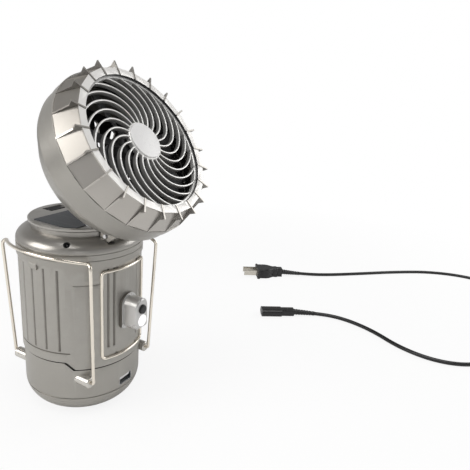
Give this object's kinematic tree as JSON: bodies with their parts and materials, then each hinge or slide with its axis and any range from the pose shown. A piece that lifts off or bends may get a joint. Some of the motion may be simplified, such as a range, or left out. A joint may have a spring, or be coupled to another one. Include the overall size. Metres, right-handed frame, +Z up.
{
  "type": "camping lantern fan",
  "caption": "Rechargeable camping fan: lift-up lantern with wire handles and a front torch, tilting round fan head on its cap, detachable mains lead.",
  "frame": {"origin": "centre of the flat foot the lantern stands on, on the floor plane", "axes": "+Z up along the lantern's axis; -Y is the front with the torch and the USB port, the side the fan blows to; +X is the lantern's right hand seen from the front"},
  "size_m": [0.5417, 0.394, 0.2526],
  "materials": {
    "body_plastic": "satin",
    "boss_silver": "satin",
    "dark_plastic": "satin",
    "pad_rubber": "matte",
    "screw_steel": "satin",
    "battery_wrap": "gloss",
    "board_green": "gloss",
    "white_plastic": "gloss",
    "clear_globe": "gloss",
    "led_yellow": "gloss",
    "bright_wire": "gloss",
    "solar_dark": "gloss",
    "torch_white": "satin",
    "clear_lens": "gloss",
    "brass_pins": "satin",
    "drum_silver": "satin",
    "badge_pearl": "satin",
    "cord_black": "satin"
  },
  "bodies": {
    "base": {"base_shell": "body_plastic", "bail_bosses": "boss_silver", "foot_plate": "dark_plastic", "foot_pads": "pad_rubber", "foot_screws": "screw_steel", "battery_pack": "battery_wrap", "charge_board": "board_green", "lamp_deck": "white_plastic", "lamp_globe": "clear_globe", "led_column": "white_plastic", "led_strips": "led_yellow", "usb_shell": "screw_steel", "usb_tongue": "dark_plastic", "inlet_socket": "dark_plastic", "inlet_pins": "brass_pins", "cord_connector_run": "cord_black", "cord_plug_run": "cord_black", "cord_coil": "cord_black", "plug_body": "cord_black", "plug_blades": "brass_pins", "cord_connector": "cord_black"},
    "sleeve": {"outer_sleeve": "body_plastic", "guide_ring": "dark_plastic", "shoulder_ring": "body_plastic", "top_cap": "body_plastic", "solar_panel": "solar_dark", "rocker_frame": "dark_plastic", "dc_jack": "screw_steel", "torch_housing": "torch_white", "torch_lens": "clear_lens", "torch_reflector": "bright_wire", "torch_guard": "bright_wire", "hinge_pin": "screw_steel"},
    "head": {"back_shell": "body_plastic", "head_screws": "screw_steel", "head_band": "body_plastic", "head_bezel": "drum_silver", "spiral_grille": "drum_silver", "grille_badge": "badge_pearl", "fan_motor": "screw_steel", "motor_mount": "dark_plastic", "hinge_yoke": "body_plastic"},
    "impeller": {"fan_impeller": "dark_plastic", "motor_shaft": "screw_steel"},
    "rocker": {"fan_rocker": "dark_plastic"},
    "torch_push": {"torch_button": "dark_plastic"},
    "left_bail": {"bail_left": "bright_wire"},
    "right_bail": {"bail_right": "bright_wire"}
  },
  "joints": [
    {"name": "sleeve_lift", "type": "slide", "parent": "base", "child": "sleeve", "axis": [0, 0, 1], "range_m": [0, 0.06]},
    {"name": "head_tilt", "type": "hinge", "parent": "sleeve", "child": "head", "pos_m": [0, -0.037, 0.139], "axis": [1, 0, 0], "range_deg": [-55, 35]},
    {"name": "fan_spin", "type": "hinge", "parent": "head", "child": "impeller", "pos_m": [0, -0.05925, 0.20586], "axis": [0, -0.8202, 0.5721], "continuous": true},
    {"name": "switch_rock", "type": "hinge", "parent": "sleeve", "child": "rocker", "pos_m": [0, 0.0255, 0.14302], "axis": [1, 0, 0], "range_deg": [-8, 8]},
    {"name": "torch_press", "type": "slide", "parent": "sleeve", "child": "torch_push", "axis": [0, 1, 0], "range_m": [0, 0.0012], "stiffness_N_per_m": 500, "springref_m": -0.001},
    {"name": "left_bail_swing", "type": "hinge", "parent": "base", "child": "left_bail", "pos_m": [-0.031, 0, 0.033], "axis": [0, -1, 0], "range_deg": [0, 95]},
    {"name": "right_bail_swing", "type": "hinge", "parent": "base", "child": "right_bail", "pos_m": [0.031, 0, 0.033], "axis": [0, 1, 0], "range_deg": [0, 95]}
  ]
}
